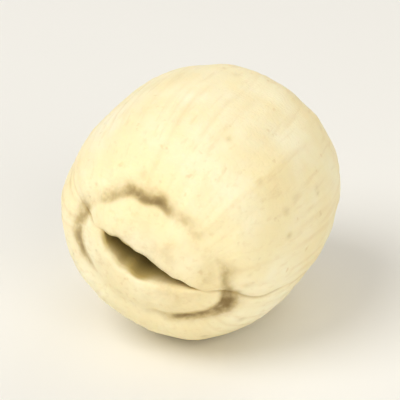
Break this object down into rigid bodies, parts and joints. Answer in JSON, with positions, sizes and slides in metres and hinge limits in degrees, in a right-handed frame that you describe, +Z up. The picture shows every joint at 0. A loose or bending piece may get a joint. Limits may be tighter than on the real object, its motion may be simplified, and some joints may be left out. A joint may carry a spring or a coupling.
{
  "type": "lotus seed",
  "caption": "Dried, peeled and cored lotus seed: a short cream barrel with a lens-shaped cleft in a low, ringed nipple at its tip and a small pinched mark at its base, lying on its side.",
  "frame": {"origin": "on the surface that the seed rests on, under the middle of its box", "axes": "+Z up, +Y along the seed's long axis from its tip to its base, so the cleft opens towards -Y"},
  "size_m": [0.0116, 0.0134, 0.011],
  "materials": {
    "seed_flesh": "matte, slightly waxy dried seed flesh, cream with brown stains in the ring and the cleft"
  },
  "bodies": {
    "root": {"lotus_seed": "seed_flesh"}
  },
  "joints": []
}
